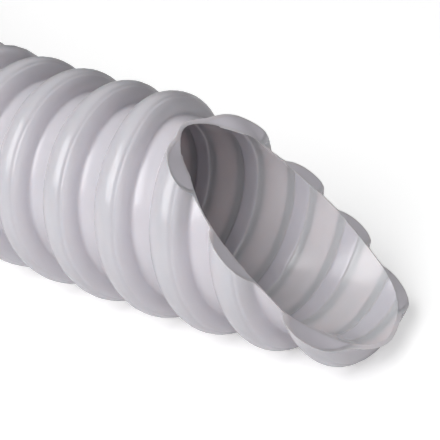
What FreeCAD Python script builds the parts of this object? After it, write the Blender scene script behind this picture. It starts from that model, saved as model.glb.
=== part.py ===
"""Half a metre of PVC spiral hose, as cut from a coil: a soft ribbed wall with a rigid spiral inside its rib.

The hose lies on a level floor. The origin is the centre of its square end, from where it runs straight
along +X, and then turns to the left in the curve that the coil gave it. That other end is cut at a slant
with a knife, with its long tongue at the bottom.
"""
import FreeCAD
import Part

import math
import os

from FreeCAD import Placement, Rotation, Vector

SIZES = [
    # alias, value, what it is (mm and degrees)
    ("straight_length", 300.0, "straight stretch, from the square end to the curve"),
    ("curved_length", 200.0, "curve left by the coil, along the middle of the hose to the slanted cut"),
    ("bend_radius", 300.0, "radius of that curve, to the middle of the hose"),
    ("bore_diameter", 25.0, "inside diameter"),
    ("web_wall", 0.6, "soft wall at the thinnest place, midway between two turns"),
    ("rib_height", 3.4, "height of the rib over the thinnest web"),
    ("rib_width", 6.0, "width of the rib at the foot of its flanks"),
    ("flank_draft", 13.0, "mean lean of the rib's two flanks at their foot"),
    ("crest_shift", 0.4, "how far the rib's crest leans towards the slanted end"),
    ("foot_height", 0.5, "how far the hollow between two turns climbs the rib's flanks"),
    ("pitch", 9.5, "distance from one turn to the next"),
    ("skin_over", 0.35, "soft skin over the rigid spiral's crown"),
    ("skin_under", 0.4, "soft skin between the rigid spiral and the bore"),
    ("skin_beside", 0.4, "soft skin at the rigid spiral's flanks"),
    ("mitre_angle", 50.0, "slant of the knife cut away from a square one"),
    ("mitre_lean", 10.5, "turn of that slant about the hose, from straight up to the inside of the curve"),
    ("crest_setback", 2.8, "from the middle of the slanted cut back to a crest on top of the hose"),
    ("spare", 10.0, "length that is made past each cut and then taken away by it"),
]
OVERALL = "(sizes.bore_diameter + 2 * sizes.web_wall + 2 * sizes.rib_height)"  # outside diameter
ARCS_PER_TURN = 12
ROUND_WEIGHT = 1 / 3  # of the two upper poles of an arch that is half an ellipse
FLAT_WEIGHT = 1.5  # of those of an arch with a flatter middle

doc = FreeCAD.newDocument("spiral_hose")
sheet = doc.addObject("Spreadsheet::Sheet", "sizes")
for row, (alias, value, meaning) in enumerate(SIZES, start=1):
    sheet.set(f"A{row}", meaning)
    sheet.set(f"B{row}", str(value))
    sheet.setAlias(f"B{row}", alias)
doc.recompute()


def size(alias):
    return float(sheet.get(alias))


bore_radius = size("bore_diameter") / 2
web_radius = bore_radius + size("web_wall")
crest_radius = web_radius + size("rib_height")
foot_radius = web_radius + size("foot_height")
half_rib = size("rib_width") / 2
slant = math.radians(size("mitre_angle"))
stock_length = size("straight_length") + size("curved_length")
past_mitre = crest_radius * math.tan(slant) + size("spare")
bend_end = stock_length + past_mitre
bend_centre = Vector(size("straight_length"), size("bend_radius"), 0)


def heading_at(run):
    """Where the middle of the hose is after this run from the square end, its heading and its left."""
    bent_run = min(max(run - size("straight_length"), 0.0), bend_end - size("straight_length"))
    turned = bent_run / size("bend_radius")
    heading = Vector(math.cos(turned), math.sin(turned), 0)
    left = Vector(-math.sin(turned), math.cos(turned), 0)
    before = min(run - size("straight_length"), 0.0)
    beyond = max(run - bend_end, 0.0)
    return bend_centre - left * size("bend_radius") + heading * (before + beyond), heading, left


def place(run, angle, radius):
    """A point of the hose, with the angle from the top towards the outside of the curve."""
    middle, heading, left = heading_at(run)
    return middle + Vector(0, 0, radius * math.cos(angle)) - left * (radius * math.sin(angle))


def straight(start, end):
    """Poles (radius, run, weight) of a straight stretch of a section, from (radius, run) pairs."""
    return [(*start, 1.0), (*end, 1.0)]


def arch(radius, start, end, height, leans, weight):
    """Poles of an arch of this height (down, if negative) over a base from start to end.

    Each lean is how far the arch goes inwards from that end of its base as it leaves it, per unit of height.
    """
    pole_height = height * (1 + 3 * weight) / (3 * weight)
    left_pole = start + leans[0] * abs(pole_height)
    right_pole = end - leans[1] * abs(pole_height)
    return [
        (radius, start, 1.0),
        (radius + pole_height, left_pole, weight),
        (radius + pole_height, right_pole, weight),
        (radius, end, 1.0),
    ]


def section_edge(stretch, run):
    """A stretch of the section as an edge on top of the hose."""
    points = [place(run + along, 0.0, radius) for radius, along, weight in stretch]
    degree = len(stretch) - 1
    curve = Part.BSplineCurve()
    ends = [degree + 1, degree + 1]
    curve.buildFromPolesMultsKnots(points, ends, [0.0, 1.0], False, degree, [pole[2] for pole in stretch])
    return curve.toShape()


def one_turn(stretch, run):
    """The face that a stretch of the section sweeps in one turn, which starts on top at this run.

    The turn is made of equal arcs, each with its middle pole where the tangents of its ends meet.
    """
    half_arc = math.pi / ARCS_PER_TURN
    poles = []
    weights = []
    for step in range(2 * ARCS_PER_TURN + 1):
        angle = step * half_arc
        shrink = math.cos(half_arc) if step % 2 else 1.0
        rise = size("pitch") * angle / (2 * math.pi)
        poles.append([place(run + rise + along, angle, radius / shrink) for radius, along, weight in stretch])
        weights.append([shrink * weight for radius, along, weight in stretch])
    degree = len(stretch) - 1
    turn_knots = [float(knot) for knot in range(ARCS_PER_TURN + 1)]
    turn_mults = [3] + [2] * (ARCS_PER_TURN - 1) + [3]
    face = Part.BSplineSurface()
    face.buildFromPolesMultsKnots(
        poles, turn_mults, [degree + 1, degree + 1], turn_knots, [0.0, 1.0], False, False, 2, degree, weights
    )
    return face.toShape()


def closed_solid(faces):
    shell = Part.makeShell(faces)
    shell.sewShape()
    solid = Part.makeSolid(shell)
    if solid.Volume < 0:
        solid.reverse()
    return solid


# Sections, as (radius, distance from the rib's middle). The outer one is a half round rib, with its crest a
# little off its middle, and the hollow up to the next turn. The core is the D that the rib is wound over. The
# blank is far thicker inwards than the wall, until the bore is cut.
blank_inside = bore_radius / 2
crown_height = crest_radius - foot_radius
draft = math.tan(math.radians(size("flank_draft")))
shear = size("crest_shift") / crown_height
rib_leans = (draft + shear, draft - shear)
hollow_leans = (shear - draft, -shear - draft)
next_foot = size("pitch") - half_rib
outer_section = [
    arch(foot_radius, -half_rib, half_rib, crown_height, rib_leans, ROUND_WEIGHT),
    arch(foot_radius, half_rib, next_foot, -size("foot_height"), hollow_leans, FLAT_WEIGHT),
]
right_side = straight((foot_radius, next_foot), (blank_inside, next_foot))
inner_section = straight((blank_inside, next_foot), (blank_inside, -half_rib))
left_side = straight((blank_inside, -half_rib), (foot_radius, -half_rib))

core_base = bore_radius + size("skin_under")
core_height = crest_radius - size("skin_over") - core_base
half_core = half_rib - size("skin_beside")
core_section = [
    arch(core_base, -half_core, half_core, core_height, rib_leans, ROUND_WEIGHT),
    straight((core_base, half_core), (core_base, -half_core)),
]

# Turns, counted from the crest beside the slanted cut, with some past both ends
top_crest = stock_length - size("crest_setback")
turns_back = math.ceil((top_crest + size("spare")) / size("pitch")) + 1
turns_beyond = math.ceil((size("crest_setback") + past_mitre) / size("pitch")) + 1
first_run = top_crest - turns_back * size("pitch")
turn_count = turns_back + turns_beyond
turn_runs = [first_run + turn * size("pitch") for turn in range(turn_count)]
last_run = first_run + turn_count * size("pitch")

core_faces = [one_turn(stretch, run) for run in turn_runs for stretch in core_section]


def core_outline(run):
    return Part.Wire([section_edge(stretch, run) for stretch in core_section])


def end_face(run):
    """The flat end of the uncut wall on top of the hose, with the core's hole in it."""
    loop = [*outer_section, right_side, inner_section, left_side]
    outline = Part.Wire([section_edge(stretch, run) for stretch in loop])
    return Part.makeFace([outline, core_outline(run)], "Part::FaceMakerBullseye")


core_blank = doc.addObject("Part::Feature", "core_blank")
core_ends = [Part.Face(core_outline(run)) for run in (first_run, last_run)]
core_blank.Shape = closed_solid(core_faces + core_ends)

wall_blank = doc.addObject("Part::Feature", "wall_blank")
wall_faces = [one_turn(stretch, run) for run in turn_runs for stretch in [*outer_section, inner_section]]
wall_faces += [one_turn(left_side, first_run), one_turn(right_side, turn_runs[-1])]
wall_faces += [end_face(first_run), end_face(last_run)]
wall_blank.Shape = closed_solid(wall_faces + core_faces)

# The bore: a cylinder through the square end and a part of a torus along the curve
half_cutter = 4 * crest_radius  # half the side of the boxes below. The cylinder starts as far before the end.
bore_straight = doc.addObject("Part::Cylinder", "bore_straight")
bore_straight.setExpression("Radius", "sizes.bore_diameter / 2")
bore_straight.setExpression("Height", f"sizes.straight_length + 2 * {OVERALL}")
bore_straight.Placement = Placement(Vector(-half_cutter, 0, 0), Rotation(Vector(0, 1, 0), 90))

bore_bend = doc.addObject("Part::Torus", "bore_bend")
bore_bend.setExpression("Radius1", "sizes.bend_radius")
bore_bend.setExpression("Radius2", "sizes.bore_diameter / 2")
bore_bend.setExpression("Angle3", f"(sizes.curved_length + 2 * {OVERALL}) / sizes.bend_radius * 180 / pi")
bore_bend.Placement = Placement(bend_centre, Rotation(Vector(0, 0, 1), -90))

# The two cuts, as boxes that take away what lies past them
square_cut = doc.addObject("Part::Box", "square_cut")
mitre_cut = doc.addObject("Part::Box", "mitre_cut")
for cutter in (square_cut, mitre_cut):
    for side in ("Length", "Width", "Height"):
        cutter.setExpression(side, f"4 * {OVERALL}")
to_corner = Vector(-half_cutter, -half_cutter, 0)


def cutter_place(middle, outwards):
    turn = Rotation(Vector(0, 0, 1), outwards)
    return Placement(middle + turn.multVec(to_corner), turn)


square_cut.Placement = cutter_place(Vector(0, 0, 0), Vector(-1, 0, 0))
cut_middle, cut_heading, cut_left = heading_at(stock_length)
lean = math.radians(size("mitre_lean"))
across = Vector(0, 0, math.cos(lean)) + cut_left * math.sin(lean)
mitre_cut.Placement = cutter_place(cut_middle, cut_heading * math.cos(slant) + across * math.sin(slant))

wall_tools = doc.addObject("Part::MultiFuse", "wall_tools")
wall_tools.Shapes = [bore_straight, bore_bend, square_cut, mitre_cut]
core_tools = doc.addObject("Part::MultiFuse", "core_tools")
core_tools.Shapes = [square_cut, mitre_cut]

wall_cut = doc.addObject("Part::Cut", "wall_cut")
wall_cut.Base = wall_blank
wall_cut.Tool = wall_tools
spiral_cut = doc.addObject("Part::Cut", "spiral_cut")
spiral_cut.Base = core_blank
spiral_cut.Tool = core_tools
doc.recompute()


def bore_first(shape):
    """The same solid with its bore's faces first, which keeps tests of what is inside it quick."""
    round_bore = (Part.Cylinder, Part.Toroid)
    faces = sorted(shape.Faces, key=lambda face: not isinstance(face.Surface, round_bore))
    return Part.Solid(Part.Shell(faces))


hose_wall = doc.addObject("Part::Feature", "hose_wall")
hose_wall.Shape = bore_first(wall_cut.Shape)

# The slanted cut parts the spiral's last turns, so that short arcs of it stay behind in the tongue
cores = sorted(spiral_cut.Shape.Solids, key=lambda solid: solid.Volume, reverse=True)
core_names = ["rigid_spiral"] + [f"tongue_rib_{number}" for number in range(1, len(cores))]
pieces = [hose_wall]
for name, solid in zip(core_names, cores):
    core = doc.addObject("Part::Feature", name)
    core.Shape = solid
    pieces.append(core)
doc.recompute()

for thing in doc.Objects:
    if "Invalid" in thing.State or "Error" in thing.State:
        raise RuntimeError(f"{thing.Name} did not build")
for piece in pieces:
    if piece.Shape.isNull() or not piece.Shape.isValid() or len(piece.Shape.Solids) != 1:
        raise RuntimeError(f"{piece.Label} is not one valid solid")

os.makedirs("parts", exist_ok=True)
for piece in pieces:
    piece.Shape.exportStep(os.path.join("parts", piece.Label + ".step"))
    box = piece.Shape.optimalBoundingBox()
    print(f"{piece.Label}: {piece.Shape.Volume / 1000:.2f} cm3, {len(piece.Shape.Faces)} faces,")
    print(f"  {box.XLength:.1f} x {box.YLength:.1f} x {box.ZLength:.1f} mm, floor at {box.ZMin:.2f}")
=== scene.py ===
"""The looks of half a metre of PVC spiral hose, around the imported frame.

The wall and the spiral are modelled as fine helical meshes: worked out in millimetres, cut with the two end
planes, and stored in metres. The origin is the centre of the square end, with the hose along +X and then in
a curve to the left.
"""
import math

import bmesh
import bpy
import numpy as np
from mathutils import Matrix, Vector


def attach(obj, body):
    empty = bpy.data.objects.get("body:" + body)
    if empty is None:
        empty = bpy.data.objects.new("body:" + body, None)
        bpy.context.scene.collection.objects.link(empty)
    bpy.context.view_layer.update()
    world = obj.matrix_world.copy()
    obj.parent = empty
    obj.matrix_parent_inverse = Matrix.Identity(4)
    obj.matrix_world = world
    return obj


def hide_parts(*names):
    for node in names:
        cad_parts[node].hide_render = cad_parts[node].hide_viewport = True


# Sizes of the hose, in millimetres and radians
STRAIGHT_LENGTH = 300.0
CURVED_LENGTH = 200.0
BEND_RADIUS = 300.0
BORE_RADIUS = 12.5
WEB_WALL = 0.6
RIB_HEIGHT = 3.4
RIB_WIDTH = 6.0
FLANK_DRAFT = math.radians(13.0)
CREST_SHIFT = 0.4
FOOT_HEIGHT = 0.5
PITCH = 9.5
SKIN_OVER = 0.35
SKIN_UNDER = 0.4
SKIN_BESIDE = 0.4
MITRE_ANGLE = math.radians(50.0)
MITRE_LEAN = math.radians(10.5)
CREST_SETBACK = 2.8
SPARE = 10.0
ROUND_WEIGHT = 1 / 3
FLAT_WEIGHT = 1.5
MM = 0.001

WEB_RADIUS = BORE_RADIUS + WEB_WALL
CREST_RADIUS = WEB_RADIUS + RIB_HEIGHT
FOOT_RADIUS = WEB_RADIUS + FOOT_HEIGHT
HALF_PITCH = PITCH / 2
HALF_RIB = RIB_WIDTH / 2
LENGTH = STRAIGHT_LENGTH + CURVED_LENGTH
PAST_MITRE = CREST_RADIUS * math.tan(MITRE_ANGLE) + SPARE
BEND_END = LENGTH + PAST_MITRE
TOP_CREST = LENGTH - CREST_SETBACK
TURNS_BACK = math.ceil((TOP_CREST + HALF_PITCH + SPARE) / PITCH) + 1
TURNS = TURNS_BACK + math.ceil((CREST_SETBACK + PAST_MITRE) / PITCH) + 1
FIRST_RUN = TOP_CREST - TURNS_BACK * PITCH

# Fineness: the last turns, beside the slanted cut, are seen from near by. Where there are two numbers, the
# first is for the rib and the second for the hollow.
STEPS_PER_TURN = 72
FINE_TURNS = 11
FINE_FROM = (TURNS - FINE_TURNS) * STEPS_PER_TURN
DENSE_PIECES = (160, 80)
FINE_PIECES = (18, 8)
COARSE_PIECES = (6, 4)
CORE_PIECES = 16
CORE_COARSE_STEP = 4
INSIDE_STOPS = 15
EDGE_SHARES = (0.0, 0.25, 0.5, 0.75, 1.0)
CLOSEST_ROWS = 0.04
CLOSEST_CUT_POINTS = 0.005
ON_PLANE = 1e-5
WAVE_ROUNDS = 12

# Fine relief of the wall. A seam is given by where along the rib's section it is, how wide and how high.
SEAMS = [(1.80, 0.20, -0.07), (2.10, 0.20, 0.03), (5.75, 0.24, -0.045)]
SEAM_REACHES = (-1.8, -1.0, -0.4, 0.0, 0.4, 1.0, 1.8)
BAND_HALF_WIDTH = 1.15
BAND_SHIFT = 0.15
BAND_EDGE = 0.4
BAND_STEP = 0.18
WEB_BULGE = 0.15
HOLLOW_LIFT = 0.15

UP = np.array([0.0, 0.0, 1.0])


def heading_at(run):
    """Middle of the hose, heading and left after these runs from the square end."""
    turned = np.clip(run - STRAIGHT_LENGTH, 0.0, BEND_END - STRAIGHT_LENGTH) / BEND_RADIUS
    level = np.zeros_like(turned)
    heading = np.stack([np.cos(turned), np.sin(turned), level], axis=-1)
    left = np.stack([-np.sin(turned), np.cos(turned), level], axis=-1)
    off_curve = np.minimum(run - STRAIGHT_LENGTH, 0.0) + np.maximum(run - BEND_END, 0.0)
    bend_centre = np.array([STRAIGHT_LENGTH, BEND_RADIUS, 0.0])
    return bend_centre - left * BEND_RADIUS + heading * off_curve[..., None], heading, left


def place(run, angle, radius):
    """Points of the hose, with the angle from the top towards the outside of the curve."""
    middle, heading, left = heading_at(run)
    return middle + UP * (radius * np.cos(angle))[..., None] - left * (radius * np.sin(angle))[..., None]


def arch(radius, start, end, height, leans, weight, pieces):
    """Points (along, radius) of an arch over a base, from start to short of end.

    A negative height makes it hang below the base.
    """
    pole_height = height * (1 + 3 * weight) / (3 * weight)
    top = radius + pole_height
    poles = [
        (start, radius),
        (start + leans[0] * abs(pole_height), top),
        (end - leans[1] * abs(pole_height), top),
        (end, radius),
    ]
    points = []
    for step in range(pieces):
        share = step / pieces
        shares = [
            (1 - share) ** 3,
            3 * weight * share * (1 - share) ** 2,
            3 * weight * share**2 * (1 - share),
            share**3,
        ]
        point = sum(part * np.array(pole) for part, pole in zip(shares, poles))
        points.append(point / sum(shares))
    return points


CROWN_HEIGHT = CREST_RADIUS - FOOT_RADIUS
DRAFT = math.tan(FLANK_DRAFT)
SHEAR = CREST_SHIFT / CROWN_HEIGHT
RIB_LEANS = (DRAFT + SHEAR, DRAFT - SHEAR)
HOLLOW_LEANS = (SHEAR - DRAFT, -SHEAR - DRAFT)


def outside_shape(pieces):
    """Points of the outside, over the rib and through the hollow to the next foot."""
    rib = arch(FOOT_RADIUS, -HALF_RIB, HALF_RIB, CROWN_HEIGHT, RIB_LEANS, ROUND_WEIGHT, pieces[0])
    next_foot = PITCH - HALF_RIB
    depth = HOLLOW_LIFT - FOOT_HEIGHT
    hollow = arch(FOOT_RADIUS, HALF_RIB, next_foot, depth, HOLLOW_LEANS, FLAT_WEIGHT, pieces[1])
    return rib + hollow + [np.array([next_foot, FOOT_RADIUS])]


def core_shape(pieces):
    """Points of the rigid spiral's D section, which the soft skin encloses."""
    base = BORE_RADIUS + SKIN_UNDER
    half_base = HALF_RIB - SKIN_BESIDE
    height = CREST_RADIUS - SKIN_OVER - base
    top = arch(base, -half_base, half_base, height, RIB_LEANS, ROUND_WEIGHT, pieces)
    return top + [np.array([half_base, base])]


def relief(along, seam):
    """Height of a seam, as a soft bump or groove along its line."""
    line, half_width, height = seam
    return height * math.exp(-(((along - line) / half_width) ** 2))


def outside_rows():
    """Rows (along, radius, also in the coarse turns) of the outside, from one foot of the rib to the next."""
    dense_along, dense_radius = np.array(outside_shape(DENSE_PIECES)).T
    spots = [(along, radius, True) for along, radius in outside_shape(COARSE_PIECES)]
    spots += [(along, radius, False) for along, radius in outside_shape(FINE_PIECES)]
    for line, half_width, height in SEAMS:
        for reach in SEAM_REACHES:
            along = line + reach * half_width
            spots.append((along, float(np.interp(along, dense_along, dense_radius)), False))
    rows = []
    for along, radius, kept in spots:
        if all(math.hypot(along - row[0], radius - row[1]) > CLOSEST_ROWS for row in rows):
            rows.append((along, radius + sum(relief(along, seam) for seam in SEAMS), kept))
    return sorted(rows)[:-1]


def inside_rows():
    """The same for the bore: a flat band under each rib, and the web between, a little further out."""
    past_edge = BAND_HALF_WIDTH + BAND_EDGE + 0.05
    short_of_edge = BAND_HALF_WIDTH - 0.1
    rows = []
    for share in np.linspace(-1.0, 1.0, INSIDE_STOPS):
        along = share * HALF_PITCH
        if abs(along) > past_edge or abs(along) < short_of_edge:
            rows.append((along, abs(along) == HALF_PITCH))
    for side in (-1.0, 1.0):
        for share in EDGE_SHARES:
            rows.append((side * (BAND_HALF_WIDTH + share * BAND_EDGE), share in (0.0, 1.0)))
    return [(along + BAND_SHIFT, inside_radius(along), kept) for along, kept in sorted(rows)[:-1]]


def inside_radius(along):
    """Radius of the bore's surface, this far along from the middle of a band."""
    beyond = abs(along) - BAND_HALF_WIDTH
    if beyond <= 0:
        return BORE_RADIUS
    share = min(beyond / BAND_EDGE, 1.0)
    step = BAND_STEP * share * share * (3 - 2 * share)
    web_share = max(beyond - BAND_EDGE, 0.0) / (HALF_PITCH - BAND_HALF_WIDTH - BAND_EDGE)
    return BORE_RADIUS + step + WEB_BULGE * math.sin(web_share * math.pi / 2)


def core_rows():
    """The same for the rigid spiral."""
    fine = core_shape(CORE_PIECES)
    return [(along, radius, index % CORE_COARSE_STEP == 0) for index, (along, radius) in enumerate(fine)]


class Winding:
    """The points and faces of helical surfaces, with half the steps and fewer rows in the coarse turns."""

    def __init__(self):
        self.keys = {}
        self.faces = []
        self.kinds = []

    def point(self, surface, step, row):
        return self.keys.setdefault((surface, step, row), len(self.keys))

    def add_surface(self, surface, rows, kinds, closed):
        """Faces between neighbouring rows. An open surface's last row is the first one of the next turn."""
        count = len(rows)
        kept = [row for row in range(count) if rows[row][2]] + [count]
        every = list(range(count + 1))

        def corner(step, row):
            if row < count:
                return self.point(surface, step, row)
            return self.point(surface, step if closed else step + STEPS_PER_TURN, 0)

        for start in range(0, TURNS * STEPS_PER_TURN, 2):
            fine = start >= FINE_FROM
            for step, width in ((start, 1), (start + 1, 1)) if fine else ((start, 2),):
                levels = every if fine else kept
                for low, high in zip(levels, levels[1:]):
                    far = step + width
                    ring = [corner(step, low), corner(step, high)]
                    if not fine and not closed and high == count and step + STEPS_PER_TURN >= FINE_FROM:
                        ring.append(corner(step + 1, high))
                    ring.append(corner(far, high))
                    if not fine and far == FINE_FROM:
                        ring += [corner(far, row) for row in range(high - 1, low, -1)]
                    ring.append(corner(far, low))
                    self.faces.append(ring)
                    self.kinds.append(kinds(rows[low][0], rows[high % count][0]))

    def coordinates(self, surfaces):
        points = np.zeros((len(self.keys), 3))
        for (surface, step, row), index in self.keys.items():
            along, radius, kept = surfaces[surface][row]
            points[index] = (FIRST_RUN + PITCH * step / STEPS_PER_TURN + along, step, radius)
        angle = points[:, 1] * 2 * math.pi / STEPS_PER_TURN
        return place(points[:, 0], angle, points[:, 2])


# The slanted cut
CUT_MIDDLE, CUT_HEADING, CUT_LEFT = heading_at(np.array(LENGTH))
ACROSS = UP * math.cos(MITRE_LEAN) + CUT_LEFT * math.sin(MITRE_LEAN)
CUT_NORMAL = CUT_HEADING * math.cos(MITRE_ANGLE) + ACROSS * math.sin(MITRE_ANGLE)

# The knife's path round the hose, as how far it lies past the plane at the bore and at the crests. The angles
# go from the top towards the outside of the curve.
KNIFE_PATH = [
    (-180.0, 0.3, 0.0),
    (-145.0, 1.2, -0.2),
    (-118.0, 0.5, -0.5),
    (-88.0, -0.1, -1.0),
    (-66.0, -0.4, -0.8),
    (-46.0, 0.9, -0.4),
    (-24.0, 0.1, -0.3),
    (0.0, -0.5, 0.0),
    (20.0, -0.3, 0.5),
    (38.0, 0.3, 1.1),
    (57.0, 0.1, 1.2),
    (74.0, 0.0, 1.2),
    (92.0, 0.0, 1.0),
    (112.0, -0.8, 0.6),
    (135.0, -0.2, 0.3),
]
KNIFE_REACH = 12.0

# The thin edge of the web that stands up between two ribs on top of the cut
FLARE_HEIGHT = 0.7
FLARE_ANGLE = 5.0
FLARE_HALF_ANGLE = 26.0
FLARE_REACH = 5.0


def knife_path(angle, column):
    """The knife's path at these angles, smooth between the points given."""
    stops = np.array([row[0] for row in KNIFE_PATH] + [180.0])
    values = np.array([row[column] for row in KNIFE_PATH] + [KNIFE_PATH[0][column]])
    stretch = np.clip(np.searchsorted(stops, angle, side="right") - 1, 0, len(stops) - 2)
    share = (angle - stops[stretch]) / (stops[stretch + 1] - stops[stretch])
    share = share * share * (3 - 2 * share)
    return values[stretch] * (1 - share) + values[stretch + 1] * share


def round_the_bend(points):
    """Radius and angle of these points, as if the whole hose followed its curve."""
    outwards = np.hypot(points[:, 0] - STRAIGHT_LENGTH, points[:, 1] - BEND_RADIUS) - BEND_RADIUS
    return np.hypot(outwards, points[:, 2]), np.degrees(np.arctan2(outwards, points[:, 2]))


def flare(points):
    """How far the edge of the cut is bent up at these points."""
    angle = round_the_bend(points)[1]
    depth = (points - CUT_MIDDLE) @ CUT_NORMAL
    near_top = np.exp(-(((angle - FLARE_ANGLE) / FLARE_HALF_ANGLE) ** 2))
    return FLARE_HEIGHT * near_top * np.exp(-((depth / FLARE_REACH) ** 2))


def knife_wave(points):
    """How far the slanted cut lies past its plane at these points, fading out away from it."""
    radius, angle = round_the_bend(points)
    share = np.clip((radius - BORE_RADIUS) / (CREST_RADIUS - BORE_RADIUS), 0.0, 1.0)
    past = knife_path(angle, 1) * (1 - share) + knife_path(angle, 2) * share
    depth = (points - CUT_MIDDLE) @ CUT_NORMAL
    return past * np.exp(-((depth / KNIFE_REACH) ** 2))


def on_plane(edge, middle, normal):
    return all(abs((point.co - middle).dot(normal)) < CLOSEST_CUT_POINTS for point in edge.verts)


def cut_mesh(name, points, faces, kinds, cut_kind):
    """A closed shape, in millimetres: the winding between the two cuts, with its cut faces filled in."""
    mesh = bpy.data.meshes.new(name)
    level = points - knife_wave(points)[:, None] * CUT_NORMAL
    mesh.from_pydata(level.tolist(), [], faces)
    mesh.polygons.foreach_set("material_index", kinds)
    shape = bmesh.new()
    shape.from_mesh(mesh)
    square_cut = (Vector((0, 0, 0)), Vector((-1, 0, 0)))
    slanted_cut = (Vector(CUT_MIDDLE), Vector(CUT_NORMAL))
    for middle, normal in (square_cut, slanted_cut):
        everything = shape.verts[:] + shape.edges[:] + shape.faces[:]
        made = bmesh.ops.bisect_plane(
            shape, geom=everything, dist=ON_PLANE, plane_co=middle, plane_no=normal, clear_outer=True
        )
        rim_points = [point for point in made["geom_cut"] if isinstance(point, bmesh.types.BMVert)]
        bmesh.ops.remove_doubles(shape, verts=rim_points, dist=CLOSEST_CUT_POINTS)
        rim = [edge for edge in shape.edges if edge.is_boundary and on_plane(edge, middle, normal)]
        filled = bmesh.ops.triangle_fill(shape, edges=rim, use_beauty=True, normal=normal)
        for face in filled["geom"]:
            if isinstance(face, bmesh.types.BMFace):
                face.material_index = cut_kind
        for edge in rim:
            edge.smooth = False
        loose = [edge for edge in shape.edges if not edge.link_faces]
        bmesh.ops.delete(shape, geom=loose, context="EDGES")
    bmesh.ops.recalc_face_normals(shape, faces=shape.faces[:])
    for face in shape.faces:
        face.smooth = True
    return mesh, shape


def store(mesh, shape):
    """Puts the cut shape in its mesh, in metres, with the knife's waves and the bent edge."""
    shape.to_mesh(mesh)
    shape.free()
    flat = np.zeros(len(mesh.vertices) * 3)
    mesh.vertices.foreach_get("co", flat)
    level = flat.reshape(-1, 3)
    points = level
    for attempt in range(WAVE_ROUNDS):
        points = level + knife_wave(points)[:, None] * CUT_NORMAL
    points = points + flare(points)[:, None] * UP
    mesh.vertices.foreach_set("co", (points * MM).ravel())
    mesh.update()
    return mesh


def islands(shape):
    """The separate pieces of a shape, as lists of faces, the largest first."""
    left = set(shape.faces)
    found = []
    while left:
        island = {left.pop()}
        border = list(island)
        while border:
            face = border.pop()
            for edge in face.edges:
                for neighbour in edge.link_faces:
                    if neighbour in left:
                        left.remove(neighbour)
                        island.add(neighbour)
                        border.append(neighbour)
        found.append(island)
    return sorted(found, key=len, reverse=True)


# Looks of the plastic: faint clouding, a fine grain in the gloss, and light that scatters in the soft wall.
# The grain's height and the scatter distance are in millimetres.
PVC_IOR = 1.53
CLOUD_SCALE = 55.0
CLOUD_DETAIL = 3.0
CLOUD_VARIATION = 0.03
GRAIN_SCALE = 900.0
GRAIN_DETAIL = 2.0
GRAIN_STRENGTH = 0.1
GRAIN_HEIGHT = 0.004
GLOSS_SPREAD = (0.9, 1.15)
LIGHT_THROUGH = 0.7
SCATTER_DISTANCE = 1.5
SCATTER_PER_COLOUR = (1.0, 0.85, 0.8)

# Name, colour and roughness, in the order of the kinds of faces of the wall
OUTSIDE, WEB_INSIDE_PAINTED_LIGHT, BAND, CUT_FACE = range(4)
SOFT_PVC = [
    ("soft_pvc_outside", (0.705, 0.67, 0.72), 0.20),
    # Painted light: the inside of the web is the same soft PVC as the outside, coloured lighter and warmer to
    # brighten the bore
    ("soft_pvc_web_inside_painted_light", (0.735, 0.69, 0.72), 0.22),
    ("soft_pvc_band_inside", (0.69, 0.65, 0.71), 0.22),
    # Partly painted light: the cut's own matte tone, made lighter than the skin to stand in for the light
    # that a rounded cut edge catches
    ("soft_pvc_cut_with_painted_light", (0.78, 0.73, 0.775), 0.45),
]
# Partly painted light: the rigid spiral's own grey, made lighter to stand in for the light that its rounded
# cut faces catch
RIGID_PVC_WITH_PAINTED_LIGHT = ("rigid_pvc", (0.78, 0.745, 0.81), 0.40)
FLOOR_WHITE = ("floor_white", (0.85, 0.85, 0.85), 0.9)


def new_material(name, colour, roughness):
    material = bpy.data.materials.new(name)
    material.use_nodes = True
    shader = material.node_tree.nodes["Principled BSDF"]
    shader.inputs["Base Color"].default_value = (*colour, 1.0)
    shader.inputs["Roughness"].default_value = roughness
    shader.inputs["IOR"].default_value = PVC_IOR
    return material


def let_light_through(material):
    """Light that enters the soft wall scatters in it and comes out warmer, also behind a thin web."""
    shader = material.node_tree.nodes["Principled BSDF"]
    shader.inputs["Subsurface Weight"].default_value = LIGHT_THROUGH
    shader.inputs["Subsurface Radius"].default_value = SCATTER_PER_COLOUR
    shader.inputs["Subsurface Scale"].default_value = SCATTER_DISTANCE * MM


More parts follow.
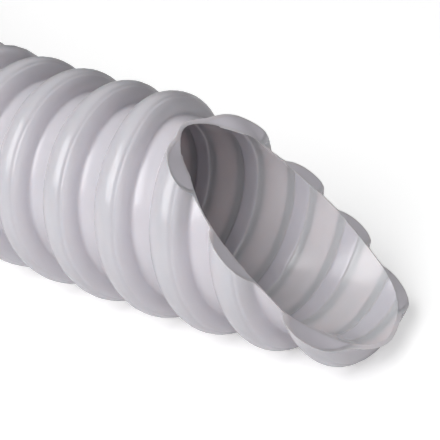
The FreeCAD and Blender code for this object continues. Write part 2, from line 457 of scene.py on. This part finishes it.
def pvc(name, colour, roughness):
    """Plasticised PVC: an even colour with faint clouding, and a gloss that is a little uneven."""
    material = new_material(name, colour, roughness)
    nodes, links = material.node_tree.nodes, material.node_tree.links
    shader = nodes["Principled BSDF"]
    where = nodes.new("ShaderNodeTexCoord")
    cloud = nodes.new("ShaderNodeTexNoise")
    cloud.inputs["Scale"].default_value = CLOUD_SCALE
    cloud.inputs["Detail"].default_value = CLOUD_DETAIL
    links.new(where.outputs["Object"], cloud.inputs["Vector"])
    tint = nodes.new("ShaderNodeMix")
    tint.data_type = "RGBA"
    tint.inputs[6].default_value = (*[channel * (1 - CLOUD_VARIATION) for channel in colour], 1.0)
    tint.inputs[7].default_value = (*[channel * (1 + CLOUD_VARIATION) for channel in colour], 1.0)
    links.new(cloud.outputs["Fac"], tint.inputs[0])
    links.new(tint.outputs[2], shader.inputs["Base Color"])
    fine = nodes.new("ShaderNodeTexNoise")
    fine.inputs["Scale"].default_value = GRAIN_SCALE
    fine.inputs["Detail"].default_value = GRAIN_DETAIL
    links.new(where.outputs["Object"], fine.inputs["Vector"])
    gloss = nodes.new("ShaderNodeMapRange")
    gloss.inputs["To Min"].default_value = roughness * GLOSS_SPREAD[0]
    gloss.inputs["To Max"].default_value = roughness * GLOSS_SPREAD[1]
    links.new(fine.outputs["Fac"], gloss.inputs["Value"])
    links.new(gloss.outputs["Result"], shader.inputs["Roughness"])
    bump = nodes.new("ShaderNodeBump")
    bump.inputs["Strength"].default_value = GRAIN_STRENGTH
    bump.inputs["Distance"].default_value = GRAIN_HEIGHT * MM
    links.new(fine.outputs["Fac"], bump.inputs["Height"])
    links.new(bump.outputs["Normal"], shader.inputs["Normal"])
    return material


def add_piece(name, node, mesh):
    """An object that stands for a node of the frame."""
    piece = bpy.data.objects.new(name, mesh)
    bpy.context.scene.collection.objects.link(piece)
    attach(piece, "root")
    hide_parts(node)


def make_wall():
    """The soft wall: its outside, its bore, and the hollow that the rigid spiral fills."""
    surfaces = {"outside": outside_rows(), "inside": inside_rows(), "hollow": core_rows()}

    # The web faces of the bore get the material with painted light, lighter and warmer than the outside
    def inside_kind(low, high):
        farthest = max(abs(low - BAND_SHIFT), abs(high - BAND_SHIFT))
        return BAND if farthest < BAND_HALF_WIDTH + BAND_EDGE / 2 else WEB_INSIDE_PAINTED_LIGHT

    winding = Winding()
    winding.add_surface("outside", surfaces["outside"], lambda low, high: OUTSIDE, closed=False)
    winding.add_surface("inside", surfaces["inside"], inside_kind, closed=False)
    winding.add_surface("hollow", surfaces["hollow"], lambda low, high: CUT_FACE, closed=True)
    points = winding.coordinates(surfaces)
    mesh, shape = cut_mesh("hose_wall_visual", points, winding.faces, winding.kinds, CUT_FACE)
    store(mesh, shape)
    for look in SOFT_PVC:
        material = pvc(*look)
        let_light_through(material)
        mesh.materials.append(material)
    add_piece("hose_wall_visual", "hose_wall", mesh)


def make_spiral():
    """The rigid spiral and the short arcs of it that the slanted cut leaves in the tongue."""
    surfaces = {"core": core_rows()}
    winding = Winding()
    winding.add_surface("core", surfaces["core"], lambda low, high: 0, closed=True)
    points = winding.coordinates(surfaces)
    mesh, shape = cut_mesh("spiral_blank", points, winding.faces, winding.kinds, 0)
    # The spiral's material carries painted light on its cut faces: its colour is lifted above its own grey
    rigid = pvc(*RIGID_PVC_WITH_PAINTED_LIGHT)
    names = ["rigid_spiral", "tongue_rib_1", "tongue_rib_2", "tongue_rib_3"]
    shape.faces.index_update()
    found = islands(shape)
    if len(found) != len(names):
        raise RuntimeError(f"the spiral is in {len(found)} pieces")
    numbers = [[face.index for face in island] for island in found]
    for name, own in zip(names, numbers):
        piece_shape = shape.copy()
        piece_shape.faces.index_update()
        own = set(own)
        others = [face for face in piece_shape.faces if face.index not in own]
        bmesh.ops.delete(piece_shape, geom=others, context="FACES")
        piece_mesh = store(bpy.data.meshes.new(name + "_visual"), piece_shape)
        piece_mesh.materials.append(rigid)
        add_piece(name + "_visual", name, piece_mesh)
    shape.free()
    bpy.data.meshes.remove(mesh)


# The camera looks at this point, from this side and this far off
AIM = Vector((0.4772, 0.0571, 0.0))
CAMERA_DISTANCE = 0.2172
LOOK_AZIMUTH = math.radians(164.58)
LOOK_DOWN = math.radians(30.0)
CAMERA_ROLL = math.radians(-7.33)
LENS = 123.7
SENSOR_WIDTH = 36.0
CLIP_START = 0.005
CLIP_END = 20.0


def make_camera():
    level_share = math.cos(LOOK_DOWN)
    look = Vector((
        math.cos(LOOK_AZIMUTH) * level_share,
        math.sin(LOOK_AZIMUTH) * level_share,
        -math.sin(LOOK_DOWN),
    ))
    data = bpy.data.cameras.new("camera")
    data.lens = LENS
    data.sensor_width = SENSOR_WIDTH
    data.clip_start = CLIP_START
    data.clip_end = CLIP_END
    camera = bpy.data.objects.new("camera", data)
    level = look.to_track_quat("-Z", "Y").to_matrix().to_4x4()
    turn = Matrix.Rotation(CAMERA_ROLL, 4, "Z")
    camera.matrix_world = Matrix.Translation(AIM - look * CAMERA_DISTANCE) @ level @ turn
    bpy.context.scene.collection.objects.link(camera)
    bpy.context.scene.camera = camera


# Name, azimuth and elevation in degrees, distance, width and height in metres, power in watts
LAMPS = [
    ("key_softbox", -65, 49, 0.9, 0.75, 0.75, 8.0),
    ("top_softbox", 0, 88, 0.9, 0.9, 0.9, 0.2),
    ("right_fill", 10, 20, 0.9, 0.6, 0.6, 1.5),
    ("back_fill", 145, 40, 1.2, 0.9, 0.9, 1.3),
]


def make_lamp(name, azimuth, elevation, distance, width, height, power):
    """A softbox that faces the cut end of the hose, from an azimuth and elevation in degrees."""
    around, above = math.radians(azimuth), math.radians(elevation)
    towards = Vector((
        math.cos(around) * math.cos(above),
        math.sin(around) * math.cos(above),
        math.sin(above),
    ))
    data = bpy.data.lights.new(name, "AREA")
    data.shape = "RECTANGLE"
    data.size = width
    data.size_y = height
    data.energy = power
    lamp = bpy.data.objects.new(name, data)
    turn = (-towards).to_track_quat("-Z", "Y").to_matrix().to_4x4()
    lamp.matrix_world = Matrix.Translation(AIM + towards * distance) @ turn
    bpy.context.scene.collection.objects.link(lamp)


FLOOR_LIFT = 0.45
FLOOR_HALF_SIDE = 6.0
WORLD_STRENGTH = 0.03


def make_stage():
    """A white floor that keeps the shadow, and a white surround."""
    material = new_material(*FLOOR_WHITE)
    nodes, links = material.node_tree.nodes, material.node_tree.links
    shader = nodes["Principled BSDF"]
    rays = nodes.new("ShaderNodeLightPath")
    lift = nodes.new("ShaderNodeMath")
    lift.operation = "MULTIPLY"
    lift.inputs[1].default_value = FLOOR_LIFT
    links.new(rays.outputs["Is Camera Ray"], lift.inputs[0])
    links.new(lift.outputs["Value"], shader.inputs["Emission Strength"])
    shader.inputs["Emission Color"].default_value = (1.0, 1.0, 1.0, 1.0)
    mesh = bpy.data.meshes.new("floor")
    level = -CREST_RADIUS * MM
    signs = ((-1, -1), (1, -1), (1, 1), (-1, 1))
    corners = [(x * FLOOR_HALF_SIDE, y * FLOOR_HALF_SIDE, level) for x, y in signs]
    mesh.from_pydata(corners, [], [(0, 1, 2, 3)])
    mesh.materials.append(material)
    floor = bpy.data.objects.new("floor", mesh)
    bpy.context.scene.collection.objects.link(floor)
    world = bpy.data.worlds.new("studio")
    world.use_nodes = True
    background = world.node_tree.nodes["Background"]
    background.inputs["Color"].default_value = (1.0, 1.0, 1.0, 1.0)
    background.inputs["Strength"].default_value = WORLD_STRENGTH
    bpy.context.scene.world = world


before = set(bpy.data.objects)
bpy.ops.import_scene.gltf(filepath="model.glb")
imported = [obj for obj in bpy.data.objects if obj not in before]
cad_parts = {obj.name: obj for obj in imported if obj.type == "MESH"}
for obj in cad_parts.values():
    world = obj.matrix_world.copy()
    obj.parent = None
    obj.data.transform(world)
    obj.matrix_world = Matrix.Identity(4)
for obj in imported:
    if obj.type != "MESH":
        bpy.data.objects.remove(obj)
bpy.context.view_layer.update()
make_wall()
make_spiral()
make_camera()
make_stage()
for lamp_sizes in LAMPS:
    make_lamp(*lamp_sizes)
bpy.context.scene.view_settings.view_transform = "Standard"
